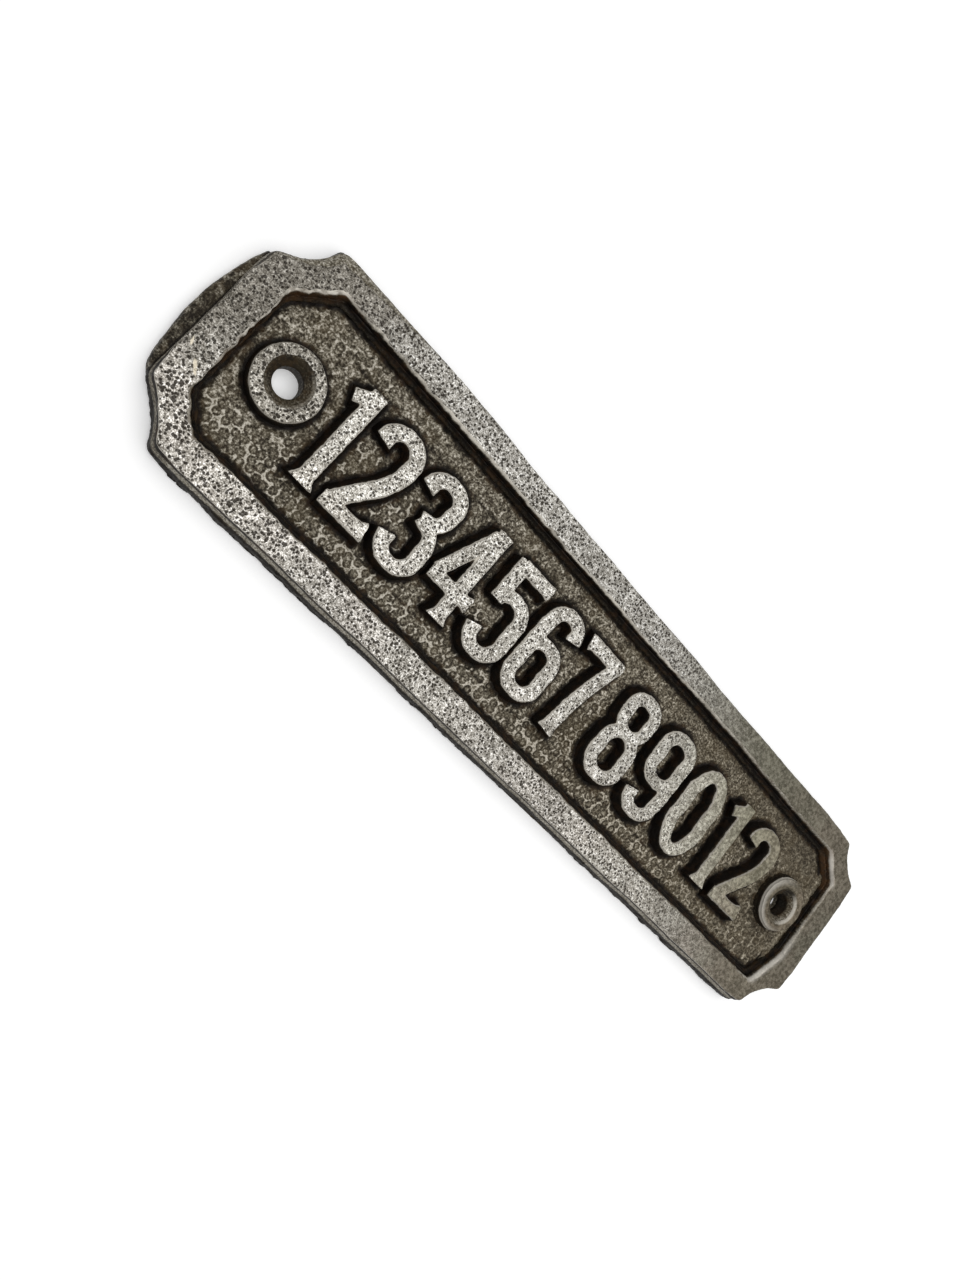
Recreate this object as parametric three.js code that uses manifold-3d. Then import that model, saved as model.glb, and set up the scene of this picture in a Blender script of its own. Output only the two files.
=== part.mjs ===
// A small cast iron sign plate: a sunk field inside a raised border with scooped corners,
// and two bosses, bored and countersunk, for the fixing screws.
// Millimetres. X runs along the sign, Y up it and Z out of its face.
// The origin is on the flat back, under the middle of the face.

import * as THREE from 'three';
import { mergeVertices } from 'three/addons/utils/BufferGeometryUtils.js';
import Module from 'manifold-3d';

const wasm = await Module();
wasm.setup();

// Sizes of the whole casting
const faceLength = 175;
const faceWidth = 42.8;
const fieldHeight = 3;
const recessDepth = 2;
const castingHeight = fieldHeight + recessDepth;

// The outer wall leans out from the face down to the back, so the casting leaves its mould
const backSpread = 1;
const bandSpread = 0.6;
const bandHeight = 2;
const brimSpread = 0.12;

// The outer edge of the face is worn round
const brimInset = 0.5;
const brimDrop = 0.45;

// Each outer corner is scooped by a concave arc between two rounded cusps
const scoopReach = 7.3;
const scoopDepth = 1.25;
const cuspRadius = 1.5;

// The border, as wide as it is ground at the ends and along the sides
const endBorder = 5.75;
const sideBorder = 5.05;

// The corners of the recess are clipped: the upper pair more than the lower pair
const upperClip = 6.2;
const lowerClip = 4.8;

// The recess wall: a rounded lip, a drafted slope and a flared foot
const lipRounding = 0.3;
const slopeInset = 0.7;
const footInset = 0.45;
const footHeight = 0.4;
const footRounding = 0.5;

// The screw holes, countersunk, and drilled a little off the middle of their bosses
const holeRadius = 2.5;
const sinkFlare = 1.65;
const sinkDepth = 1.5;
const leftHoleRise = 0.25;
const rightHoleDrift = 0.45;

// The bosses: rings round the countersinks, set in from the foot of the recess wall
const bossRim = 1.85;
const bossSpread = 0.45;
const bossRounding = 0.35;
const leftBossGap = 1.55;
const rightBossGap = 0.7;

// The stub of the casting gate, broken off and ground down low on the left end
const gateMargin = 1.1;
const gateBow = 1.35;
const gateCrownShare = 0.45;
const gateHeightShare = 0.92;
const gateShoulderShare = 0.55;

// How far cutting tools and joined pieces run past each other
const overrun = 1;

// Steps along each curve
const cuspSteps = 6;
const scoopSteps = 12;
const clipSteps = 4;
const edgeSteps = 5;
const gateSteps = 24;
const roundSteps = 48;

// Sizes that follow from those above
const recessLength = faceLength - 2 * endBorder;
const recessWidth = faceWidth - 2 * sideBorder;
const sinkRadius = holeRadius + sinkFlare;
const bossRadius = sinkRadius + bossRim;
const bossReach = recessLength / 2 - slopeInset - footInset - bossSpread - bossRadius;
const gateLength = faceWidth - 2 * (scoopReach + gateMargin);

// An outline is a list of arcs, each with the angles of its outward normal at both ends.
// A concave arc has a negative radius and shares its ends with the arcs beside it.
function arcOf(x, y, radius, start, end, steps) {
  return { x, y, radius, start, end, steps };
}

function mirroredArcs(arcs) {
  const mirrored = arcs.map(({ x, y, radius, start, end, steps }) =>
    arcOf(-x, y, radius, Math.PI - end, Math.PI - start, steps));
  return mirrored.reverse();
}

function turnedArcs(arcs) {
  return arcs.map(({ x, y, radius, start, end, steps }) =>
    arcOf(-x, -y, radius, start + Math.PI, end + Math.PI, steps));
}

// The face outline: one scooped corner, repeated at all four
function scoopedOutline() {
  const halfLength = faceLength / 2;
  const halfWidth = faceWidth / 2;
  const halfChord = scoopReach / Math.SQRT2;
  const scoopRadius = (halfChord ** 2 + scoopDepth ** 2) / (2 * scoopDepth);
  const outset = (scoopRadius - scoopDepth) / Math.SQRT2 - scoopReach / 2;
  const reach = scoopRadius + cuspRadius;
  const rise = Math.sqrt(reach ** 2 - (outset + cuspRadius) ** 2) - outset;
  const lean = Math.acos((outset + cuspRadius) / reach);
  const corner = [
    arcOf(halfLength - cuspRadius, halfWidth - rise, cuspRadius, 0, lean, cuspSteps),
    arcOf(halfLength + outset, halfWidth + outset, -scoopRadius, lean, Math.PI / 2 - lean, scoopSteps),
    arcOf(halfLength - rise, halfWidth - cuspRadius, cuspRadius, Math.PI / 2 - lean, Math.PI / 2, cuspSteps),
  ];
  const upper = [...corner, ...mirroredArcs(corner)];
  return [...upper, ...turnedArcs(upper)];
}

// A polygon with every corner rounded, its points listed anticlockwise
function roundedPolygon(points, radius) {
  return points.map((point, index) => {
    const before = points[(index + points.length - 1) % points.length];
    const after = points[(index + 1) % points.length];
    const start = Math.atan2(point.y - before.y, point.x - before.x) - Math.PI / 2;
    const turn = Math.atan2(after.y - point.y, after.x - point.x) - Math.PI / 2 - start;
    const sweep = (turn + 2 * Math.PI) % (2 * Math.PI);
    const middle = start + sweep / 2;
    const setBack = radius / Math.cos(sweep / 2);
    const x = point.x - setBack * Math.cos(middle);
    const y = point.y - setBack * Math.sin(middle);
    return arcOf(x, y, radius, start, start + sweep, clipSteps);
  });
}

// The mouth of the recess
function recessOutline() {
  const halfLength = recessLength / 2;
  const halfWidth = recessWidth / 2;
  const right = [
    new THREE.Vector2(halfLength - lowerClip, -halfWidth),
    new THREE.Vector2(halfLength, lowerClip - halfWidth),
    new THREE.Vector2(halfLength, halfWidth - upperClip),
    new THREE.Vector2(halfLength - upperClip, halfWidth),
  ];
  const left = right.map((point) => new THREE.Vector2(-point.x, point.y)).reverse();
  return roundedPolygon([...right, ...left], footRounding + footInset + slopeInset);
}

// The points of an outline grown by spread, or shrunk where spread is negative
function ringOf(outline, spread) {
  return outline.flatMap(({ x, y, radius, start, end, steps }) => {
    const skip = radius < 0 ? 1 : 0;
    const count = steps + 1 - 2 * skip;
    return Array.from({ length: count }, (_, index) => {
      const angle = start + (end - start) * (index + skip) / steps;
      return new THREE.Vector2(x + (radius + spread) * Math.cos(angle), y + (radius + spread) * Math.sin(angle));
    });
  });
}

// A closed solid through rings of equal counts, from the lowest up
function loft(rings) {
  const count = rings[0].points.length;
  const positions = rings.flatMap(({ points, height }) => points.flatMap(({ x, y }) => [x, y, height]));
  const faces = [];
  for (let level = 0; level < rings.length - 1; level++) {
    for (let index = 0; index < count; index++) {
      const here = level * count + index;
      const next = level * count + (index + 1) % count;
      faces.push(here, next, next + count, here, next + count, here + count);
    }
  }
  const top = (rings.length - 1) * count;
  for (const [a, b, c] of THREE.ShapeUtils.triangulateShape(rings[0].points, [])) {
    faces.push(c, b, a);
  }
  for (const [a, b, c] of THREE.ShapeUtils.triangulateShape(rings.at(-1).points, [])) {
    faces.push(top + a, top + b, top + c);
  }
  const geometry = new THREE.BufferGeometry();
  geometry.setAttribute('position', new THREE.Float32BufferAttribute(positions, 3));
  geometry.setIndex(faces);
  return geometry;
}

// A solid of revolution about Z through x and y, from a profile of radius and height
function turned(profile, x, y) {
  const points = profile.map(([radius, height]) => new THREE.Vector2(radius, height));
  const geometry = new THREE.LatheGeometry(points, roundSteps);
  geometry.rotateX(Math.PI / 2);
  geometry.translate(x, y, 0);
  return geometry;
}

// A closed mesh as a solid for joining and cutting, without its collapsed triangles
function solidOf(geometry) {
  geometry.deleteAttribute('normal');
  geometry.deleteAttribute('uv');
  const merged = mergeVertices(geometry);
  const source = merged.index.array;
  const corners = [];
  for (let face = 0; face < source.length; face += 3) {
    const [a, b, c] = source.slice(face, face + 3);
    if (a !== b && b !== c && c !== a) {
      corners.push(a, b, c);
    }
  }
  const vertProperties = Float32Array.from(merged.attributes.position.array);
  const mesh = new wasm.Mesh({ numProp: 3, vertProperties, triVerts: Uint32Array.from(corners) });
  return new wasm.Manifold(mesh);
}

function geometryOf(solid) {
  const { vertProperties, triVerts } = solid.getMesh();
  const geometry = new THREE.BufferGeometry();
  geometry.setAttribute('position', new THREE.Float32BufferAttribute(vertProperties, 3));
  geometry.setIndex(Array.from(triVerts));
  return geometry.toNonIndexed();
}

// A quarter round as shares of its two sides, from the first side to the second
function quarterRound() {
  return Array.from({ length: edgeSteps + 1 }, (_, step) => {
    const angle = Math.PI / 2 * step / edgeSteps;
    return { across: Math.cos(angle), up: Math.sin(angle) };
  });
}

// How far the outer wall stands past the face outline at each height, from the back to the brim
const wallStations = [
  { spread: backSpread, height: 0 },
  { spread: bandSpread, height: bandHeight },
  { spread: brimSpread, height: castingHeight - brimDrop },
];

function wallSpreadAt(height) {
  const upper = wallStations.findIndex((station) => station.height >= height);
  const above = wallStations[Math.max(upper, 1)];
  const below = wallStations[Math.max(upper, 1) - 1];
  const share = (height - below.height) / (above.height - below.height);
  return below.spread + (above.spread - below.spread) * share;
}

function wallRings(low, high) {
  const between = wallStations.filter(({ height }) => height > low && height < high);
  const heights = [low, ...between.map(({ height }) => height), high];
  return heights.map((height) => ({ points: ringOf(scoopedOutline(), wallSpreadAt(height)), height }));
}

// The gate stub: a bowed lump, fullest at its shoulder, rooted inside the left end wall
function gateSolid() {
  const topHeight = fieldHeight * gateHeightShare;
  const levels = [
    { crown: 1, height: 0 },
    { crown: 1, height: topHeight * gateShoulderShare },
    ...quarterRound().slice(1).map(({ across, up }) => ({
      crown: gateCrownShare + (1 - gateCrownShare) * across,
      height: topHeight * (gateShoulderShare + (1 - gateShoulderShare) * up),
    })),
  ];
  const wall = -faceLength / 2 - wallSpreadAt(0);
  const rings = levels.map(({ crown, height }) => {
    const bowed = Array.from({ length: gateSteps + 1 }, (_, step) => {
      const along = 2 * step / gateSteps - 1;
      return new THREE.Vector2(wall - gateBow * crown * (1 - along ** 2), -along * gateLength / 2);
    });
    const rootX = wall + backSpread + overrun;
    const root = [new THREE.Vector2(rootX, -gateLength / 2), new THREE.Vector2(rootX, gateLength / 2)];
    return { points: [...bowed, ...root], height };
  });
  return solidOf(loft(rings));
}

// Where each boss stands, and how far off its middle the hole is drilled
const bosses = [
  { name: 'screw_boss_left', x: leftBossGap - bossReach, drift: 0, rise: leftHoleRise },
  { name: 'screw_boss_right', x: bossReach - rightBossGap, drift: rightHoleDrift, rise: 0 },
];

// The tool that drills a screw hole through the casting and countersinks its mouth
function screwCutter({ x, drift, rise }) {
  const flare = (sinkRadius - holeRadius) / sinkDepth;
  return solidOf(turned([
    [0, -overrun],
    [holeRadius, -overrun],
    [holeRadius, castingHeight - sinkDepth],
    [sinkRadius + overrun * flare, castingHeight + overrun],
    [0, castingHeight + overrun],
  ], x + drift, rise));
}

// The plate under the field, with the lower part of the outer wall, the gate stub and both holes
function fieldPlate() {
  const plate = solidOf(loft(wallRings(0, fieldHeight))).add(gateSolid());
  return bosses.reduce((rest, boss) => rest.subtract(screwCutter(boss)), plate);
}

// The raised border: the upper part of the outer wall, rounded at the brim, less the recess
function raisedBorder() {
  const outline = scoopedOutline();
  const brim = quarterRound().map(({ across, up }) => ({
    points: ringOf(outline, (brimInset + brimSpread) * across - brimInset),
    height: castingHeight - brimDrop * (1 - up),
  }));
  const wall = wallRings(fieldHeight, castingHeight - brimDrop).slice(0, -1);
  return solidOf(loft([...wall, ...brim])).subtract(recessCutter());
}

// The space that the recess takes out of the border
function recessCutter() {
  const outline = recessOutline();
  const footSpread = -slopeInset - footInset;
  const lip = quarterRound().map(({ across, up }) => ({
    spread: lipRounding * (1 - across),
    height: castingHeight - lipRounding * (1 - up),
  }));
  const stations = [
    { spread: footSpread, height: fieldHeight - overrun },
    { spread: footSpread, height: fieldHeight },
    { spread: -slopeInset, height: fieldHeight + footHeight },
    ...lip,
    { spread: lipRounding, height: castingHeight + overrun },
  ];
  return solidOf(loft(stations.map(({ spread, height }) => ({ points: ringOf(outline, spread), height }))));
}

// One boss: a drafted ring with a rounded edge, ground level with the border
function screwBoss(boss) {
  const edge = quarterRound().map(({ across, up }) => [
    bossRadius - bossRounding * (1 - across),
    castingHeight - bossRounding * (1 - up),
  ]);
  const ring = turned([
    [0, fieldHeight],
    [bossRadius + bossSpread, fieldHeight],
    ...edge,
    [0, castingHeight],
  ], boss.x, 0);
  return solidOf(ring).subtract(screwCutter(boss));
}

// Each node is a feature of the one casting, with its own finish
function meshOf(name, solid, color, roughness, metalness) {
  const material = new THREE.MeshStandardMaterial({ color, roughness, metalness });
  const mesh = new THREE.Mesh(geometryOf(solid), material);
  mesh.name = name;
  return mesh;
}

const patinaColor = 0x4a443c;
const groundColor = 0x8d8a84;

const sign = new THREE.Group();
sign.add(meshOf('field_plate', fieldPlate(), patinaColor, 0.6, 0.7));
sign.add(meshOf('raised_border', raisedBorder(), groundColor, 0.4, 0.9));
for (const boss of bosses) {
  sign.add(meshOf(boss.name, screwBoss(boss), groundColor, 0.45, 0.9));
}

export default sign;
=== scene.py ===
from math import pi, radians, sqrt
from random import Random

import bmesh
import bpy
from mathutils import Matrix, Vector, kdtree


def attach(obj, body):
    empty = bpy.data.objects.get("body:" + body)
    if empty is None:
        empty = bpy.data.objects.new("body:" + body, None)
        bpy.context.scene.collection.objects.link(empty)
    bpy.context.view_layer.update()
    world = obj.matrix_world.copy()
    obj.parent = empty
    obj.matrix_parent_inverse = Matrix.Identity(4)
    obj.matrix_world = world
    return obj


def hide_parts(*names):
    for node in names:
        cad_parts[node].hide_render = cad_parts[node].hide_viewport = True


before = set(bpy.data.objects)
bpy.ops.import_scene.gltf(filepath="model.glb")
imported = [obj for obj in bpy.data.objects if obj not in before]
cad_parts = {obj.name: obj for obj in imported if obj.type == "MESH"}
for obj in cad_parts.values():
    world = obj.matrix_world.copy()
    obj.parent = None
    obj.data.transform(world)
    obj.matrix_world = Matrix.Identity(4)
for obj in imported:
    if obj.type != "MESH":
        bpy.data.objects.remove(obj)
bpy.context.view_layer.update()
mm = 0.001


# Small helpers for working as by hand: pick, edit, apply

def objectMode():
    active = bpy.context.view_layer.objects.active
    if active and active.mode != "OBJECT":
        bpy.ops.object.mode_set(mode="OBJECT")


def pickOnly(*pieces):
    objectMode()
    bpy.ops.object.select_all(action="DESELECT")
    for piece in pieces:
        piece.select_set(True)
    bpy.context.view_layer.objects.active = pieces[-1]


def named(name):
    piece = bpy.context.object
    piece.name = piece.data.name = name
    return piece


def copyOf(name, *pieces):
    pickOnly(*pieces)
    bpy.ops.object.duplicate()
    return named(name)


def applyPlace(piece):
    pickOnly(piece)
    bpy.ops.object.transform_apply(location=True, rotation=True, scale=True)


def editPick(piece, kind, wanted):
    # goes into edit mode with only those verts, edges or faces selected that the test wants
    pickOnly(piece)
    bpy.ops.object.mode_set(mode="EDIT")
    bpy.ops.mesh.select_mode(type=kind[:-1].upper())
    bpy.ops.mesh.select_all(action="DESELECT")
    mesh = bmesh.from_edit_mesh(piece.data)
    for part in getattr(mesh, kind):
        part.select_set(bool(wanted(part)))
    mesh.select_flush_mode()
    bmesh.update_edit_mesh(piece.data)


def modify(piece, kind, **settings):
    pickOnly(piece)
    modifier = piece.modifiers.new(kind.title(), kind)
    for key, value in settings.items():
        setattr(modifier, key, value)
    bpy.ops.object.modifier_apply(modifier=modifier.name)


def remesh(piece, voxel):
    modify(piece, "REMESH", mode="VOXEL", voxel_size=voxel * mm)


def cut(piece, tool, operation="DIFFERENCE"):
    modify(piece, "BOOLEAN", object=tool, operation=operation, solver="EXACT")
    bpy.data.objects.remove(tool)


def metres(*parts):
    return [part * mm for part in parts]


def makeBlock(name, size, middle):
    bpy.ops.mesh.primitive_cube_add(size=1, location=metres(*middle))
    block = named(name)
    block.scale = metres(*size)
    applyPlace(block)
    return block


def makeCone(name, low, high, lowRadius, highRadius, x=0.0, y=0.0):
    bpy.ops.mesh.primitive_cone_add(
        vertices=128, radius1=lowRadius * mm, radius2=highRadius * mm, depth=(high - low) * mm,
        location=metres(x, y, (low + high) / 2))
    cone = named(name)
    applyPlace(cone)
    return cone


def roughen(piece, swells, level=0.5, direction="NORMAL"):
    # swells of noise over the surface: a name, how wide and how high they are, perhaps a vertex group
    for name, size, height, *group in swells:
        texture = bpy.data.textures.new(name, "CLOUDS")
        texture.noise_scale = size * mm
        texture.noise_depth = 2
        modify(piece, "DISPLACE", texture=texture, texture_coords="LOCAL", direction=direction,
               strength=height * mm, mid_level=level, vertex_group="".join(group))


def push(piece, group, direction, distance, level=0):
    modify(piece, "DISPLACE", direction=direction, strength=distance * mm, mid_level=level,
           vertex_group=group)


def clamped(value):
    return max(0, min(1, value))


def weigh(piece, group, weight):
    # a vertex group filled from each vertex's place, in millimetres
    target = piece.vertex_groups.new(name=group)
    for vertex in piece.data.vertices:
        share = weight(vertex.co / mm)
        if share > 0:
            target.add([vertex.index], min(share, 1), "REPLACE")


def flatten(piece, height, side):
    # everything past a height is pressed flat onto it: ground from above, or levelled from below
    editPick(piece, "verts", lambda vertex: side * (vertex.co.z - height * mm) > 0)
    bpy.ops.transform.resize(value=(1, 1, 0), center_override=(0, 0, height * mm))
    objectMode()


def trim(piece, low, high, reach=300):
    # cuts away what hides inside the rest of the casting, from one height to another
    cut(piece, makeBlock("trimBlock", (reach, reach, high - low), (0, 0, (low + high) / 2)))


def faceOutward():
    bpy.ops.mesh.select_all(action="SELECT")
    bpy.ops.mesh.normals_make_consistent(inside=False)


def keepShade(piece, group, name):
    # a vertex group's weights, kept as an attribute that the finish reads
    objectMode()
    index = piece.vertex_groups[group].index
    shade = piece.data.attributes.new(name, "FLOAT", "POINT")
    for vertex, entry in zip(piece.data.vertices, shade.data):
        entry.value = next((share.weight for share in vertex.groups if share.group == index), 0)


def smooth(piece, flatHeight=None):
    pickOnly(piece)
    bpy.ops.object.shade_smooth()
    if flatHeight is None:
        return
    for face in piece.data.polygons:
        if abs(face.center.z / mm - flatHeight) < 0.004 and abs(face.normal.z) > 0.999:
            face.use_smooth = False


# The outline that the border and the back share: a bar whose corners are scooped

outlineSizes = {
    "half": (87.5, 21.4), "groundHeight": 5.0,
    # how far each corner's scoop reaches along the sign and across it, and how deep it is
    "scoops": {(-1, 1): (7.1, 8.2, 1.6), (-1, -1): (7.4, 7.5, 0.95),
               (1, 1): (7.6, 6.4, 1.3), (1, -1): (6.9, 7.8, 1.6)},
    "scoopDraft": 0.15, "cuspReach": 5.0, "cuspRounding": 2.0,
    "rightStretch": (83, 3.5, 0.5),  # where it starts, over what length it grows, how far it goes
}
halfLength, halfWidth = outlineSizes["half"]
groundHeight = outlineSizes["groundHeight"]


def placeScoops():
    # the two cusps of each scoop, and the middle and radius of the round tool that cuts between them
    places = {}
    for (sideX, sideY), (reachX, reachY, depth) in outlineSizes["scoops"].items():
        first = Vector((sideX * (halfLength - reachX), sideY * halfWidth))
        second = Vector((sideX * halfLength, sideY * (halfWidth - reachY)))
        chord = second - first
        radius = ((chord.length / 2) ** 2 + depth ** 2) / (2 * depth)
        outward = Vector((sideX * abs(chord.y), sideY * abs(chord.x))).normalized()
        places[sideX, sideY] = (first, second, (first + second) / 2 + outward * (radius - depth), radius)
    return places


scoopPlaces = placeScoops()


def insetOf(place):
    # how far inside the outline a place lies, in millimetres
    middle, radius = scoopPlaces[1 if place.x > 0 else -1, 1 if place.y > 0 else -1][2:]
    return min(halfLength - abs(place.x), halfWidth - abs(place.y), (place.xy - middle).length - radius)


def makeBar(name, low, high, along=0.0, across=0.0):
    size = (2 * halfLength + 2 * along, 2 * halfWidth + 2 * across, high - low)
    return makeBlock(name, size, (0, 0, (low + high) / 2))


def scoopCorners(piece, low, high):
    # each corner is cut by a round tool that is slimmer below, because the scoops are drafted
    draft = outlineSizes["scoopDraft"]
    for *_, middle, radius in scoopPlaces.values():
        lowRadius = radius - draft * (groundHeight - low)
        highRadius = radius + draft * (high - groundHeight)
        cut(piece, makeCone("scoopTool", low, high, lowRadius, highRadius, *middle))


def roundCusps(piece, voxel):
    cusps = [cusp for places in scoopPlaces.values() for cusp in places[:2]]
    reach = outlineSizes["cuspReach"]
    weigh(piece, "cusps", lambda place: 2 - 2 * min((place.xy - cusp).length for cusp in cusps) / reach)
    modify(piece, "SMOOTH", factor=0.5, iterations=int((2 * outlineSizes["cuspRounding"] / voxel) ** 2),
           vertex_group="cusps", use_z=False)


def stretchRightEnd(piece):
    # the right end stands out a little further than the left
    start, growth, distance = outlineSizes["rightStretch"]
    weigh(piece, "rightEnd", lambda place: (place.x - start) / growth)
    push(piece, "rightEnd", "X", distance)


def growDown(piece, half, stations):
    # the underside is drawn down through stations: a height, and how far the wall stands out there both ways
    alongBefore = acrossBefore = 0
    editPick(piece, "faces", lambda face: face.normal.z < -0.9)
    for height, along, across in stations:
        mesh = bmesh.from_edit_mesh(piece.data)
        here = next(face for face in mesh.faces if face.select).calc_center_median().z / mm
        bpy.ops.mesh.extrude_region_move(TRANSFORM_OT_translate={"value": (0, 0, (height - here) * mm)})
        growX = (half[0] + along) / (half[0] + alongBefore)
        growY = (half[1] + across) / (half[1] + acrossBefore)
        bpy.ops.transform.resize(value=(growX, growY, 1), center_override=(0, 0, 0))
        alongBefore, acrossBefore = along, across
    objectMode()


# The raised border: the drafted outer wall, the recess, then casting roughness and grinding

borderSizes = {
    "rawBottom": 5.1, "rawTop": 5.3, "voxel": 0.3, "bottom": 0.45,
    "wall": [(4.95, 0.0, 0.0), (4.55, 0.06, 0.12), (2.5, 0.25, 0.6), (1.9, 0.35, 0.85), (-0.5, 0.6, 1.3)],
    "recessHalf": (82, 16.35), "recessShift": 0.25, "cornerRounding": 0.8,
    # how far each of the recess's corners is clipped, along the sign and across it
    "clips": {(-1, 1): (6.2, 6.2), (-1, -1): (4.8, 4.8), (1, 1): (6.1, 4.6), (1, -1): (3.4, 9.0)},
    "recessWall": [(3.4, -0.3, -0.7), (3.0, -0.5, -1.15), (-1.0, -0.6, -1.3)],
    "stripTop": 2.5, "rollWidth": 2.4, "roll": 0.9,
    "lip": 0.6, "lipAtRightEnd": 1.25, "lipDrop": 0.75, "rightEnd": (74, 79),  # the lip widens over this x
    "bumps": [(-52, 24, 0.6), (68, 18, 0.25)],  # swells along the upper side: where, how wide, how high
    "bend": (37, 32, 0.35),  # of the recess's upper edge: where, how wide, how far
    "rough": [("edgeWander", 13, 0.6), ("stripWaves", 4, 0.7, "lowerStrip"),
              ("stripLumps", 1.1, 0.45, "lowerStrip"), ("lipWander", 1.8, 0.65, "inside"),
              ("castGrain", 0.7, 0.12)],
}


def upright(edge):
    return abs(edge.verts[0].co.z - edge.verts[1].co.z) > 0.5 * mm


def recessTool():
    sizes = borderSizes
    reachX, reachY = sizes["recessHalf"]
    tool = makeBlock("recessTool", (2 * reachX, 2 * reachY, 1), (0, 0, groundHeight + 0.5))
    for (sideX, sideY), (clipX, clipY) in sizes["clips"].items():
        editPick(tool, "edges", lambda edge: upright(edge)
                 and sideY * edge.verts[0].co.y > (reachY - 0.1) * mm
                 and sideX * edge.verts[0].co.x > (reachX - 0.1) * mm)
        bpy.ops.mesh.bevel(offset=clipX * mm, segments=1, affect="EDGES")
        editPick(tool, "verts", lambda vertex: sideX * vertex.co.x > (reachX - 0.1) * mm
                 and abs(sideY * vertex.co.y - (reachY - clipX) * mm) < 0.1 * mm)
        bpy.ops.transform.translate(value=(0, sideY * (clipX - clipY) * mm, 0))
    editPick(tool, "edges", upright)
    bpy.ops.mesh.bevel(offset=sizes["cornerRounding"] * mm, segments=4, affect="EDGES")
    objectMode()
    growDown(tool, sizes["recessHalf"], sizes["recessWall"])
    tool.location.x = sizes["recessShift"] * mm
    applyPlace(tool)
    return tool


def wornLip(place):
    # the recess's edge is worn round: most at the right end, hardly along the lower side
    sizes = borderSizes
    beyondX = abs(place.x - sizes["recessShift"]) - sizes["recessHalf"][0]
    beyondY = abs(place.y) - sizes["recessHalf"][1]
    clipX, clipY = sizes["clips"][1 if place.x > 0 else -1, 1 if place.y > 0 else -1]
    diagonal = (beyondX * clipY + beyondY * clipX + clipX * clipY) / sqrt(clipX ** 2 + clipY ** 2)
    outset = max(beyondX, beyondY, diagonal, 0)
    rightFrom, rightTo = sizes["rightEnd"]
    rightEnd = clamped((place.x - rightFrom) / (rightTo - rightFrom))
    width = sizes["lip"] + (sizes["lipAtRightEnd"] - sizes["lip"]) * rightEnd
    width *= 1 + (0.5 + 0.4 * rightEnd) * clamped(diagonal - max(beyondX, beyondY) + 0.5)
    lowerSide = place.y < 1 - sizes["recessHalf"][1] and place.x < rightFrom
    return (0.4 if lowerSide else 1) * max(0, 1 - outset / width) ** (1 + rightEnd) * (place.z > 4)


def rolledRim(place):
    # the rim that the grinding never reached, round the upper left corner
    rim = 1 - max(0, insetOf(place)) / borderSizes["rollWidth"]
    corner = (0.9 * place.y - 0.35 * place.x - 38) / 8
    return clamped(corner) * max(0, rim) * clamped(place.z - 4)


def swelling(place):
    heights = [height * (1 - abs(place.x - middle) / reach) for middle, reach, height in borderSizes["bumps"]]
    return (place.y > 0 and insetOf(place) < 2) * max(0, *heights)


def upperBend(place):
    # the recess's upper edge bends outwards a little, right of the middle
    middle, reach = borderSizes["bend"][:2]
    return (place.y > 12) * (1 - abs(place.x - middle) / reach) * clamped((insetOf(place) - 1.5) / 2)


def makeBorder():
    sizes = borderSizes
    border = makeBar("castBorder", sizes["rawBottom"], sizes["rawTop"])
    growDown(border, outlineSizes["half"], sizes["wall"])
    scoopCorners(border, -1, 6)
    cut(border, recessTool())
    remesh(border, sizes["voxel"])
    roundCusps(border, sizes["voxel"])
    weigh(border, "lowerStrip", lambda place: (insetOf(place) < 0.2) * (sizes["stripTop"] - place.z) / 0.5)
    weigh(border, "inside", lambda place: (insetOf(place) > 1.5) * (0.5 - min(0, place.x) / 120))
    weigh(border, "rolled", rolledRim)
    weigh(border, "lip", wornLip)
    weigh(border, "bump", swelling)
    weigh(border, "bend", upperBend)
    push(border, "bump", "Y", 1)
    push(border, "bend", "Y", sizes["bend"][2])
    push(border, "rolled", "Z", -sizes["roll"])
    push(border, "lip", "Z", -sizes["lipDrop"])
    stretchRightEnd(border)
    roughen(border, sizes["rough"])
    flatten(border, groundHeight, 1)
    flatten(border, sizes["bottom"], -1)
    underside = (sizes["bottom"] + 0.001) * mm
    editPick(border, "faces", lambda face: max(vertex.co.z for vertex in face.verts) < underside)
    bpy.ops.mesh.delete(type="FACE")
    editPick(border, "edges", lambda edge: edge.is_boundary)
    bpy.ops.mesh.bridge_edge_loops()
    keepShade(border, "rolled", "rolledShade")
    smooth(border, groundHeight)
    print("border: raised, recessed, roughened and ground")
    return border


castBorder = makeBorder()


# The back: a thin slab with a rough underside, whose edge is the parting line all round

backSizes = {
    "rawBottom": -0.03, "rawTop": 1.1, "thickness": 0.5, "voxel": 0.46, "along": 0.5, "across": 1.15,
    "rough": [("backWaves", 6, 0.26), ("backSand", 1.3, 0.2)], "roughLevel": 0.8,
}


def makeBack():
    sizes = backSizes
    back = makeBar("castBack", sizes["rawBottom"], sizes["rawTop"], sizes["along"], sizes["across"])
    scoopCorners(back, -1, 3)
    remesh(back, sizes["voxel"])
    roundCusps(back, sizes["voxel"])
    stretchRightEnd(back)
    roughen(back, sizes["rough"], sizes["roughLevel"])
    flatten(back, 0, -1)
    trim(back, sizes["thickness"], 4)
    smooth(back)
    print("back: cast flat and rough")
    return back


castBack = makeBack()


# The stub of the casting gate, broken off and rubbed down low on the left end

gateSizes = {
    "radius": 48, "middle": -0.9, "tip": -90.2, "root": -86.4, "upperEnd": 13.0, "lowerEnd": -14.7,
    "top": 2.7, "bottom": 0.05, "edge": 1.0, "voxel": 0.22, "taperFrom": -11.3, "taper": 1.4,
    "wear": 16, "rough": [("gateWaves", 5, 0.45), ("gateGrain", 0.8, 0.16)],
}


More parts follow.
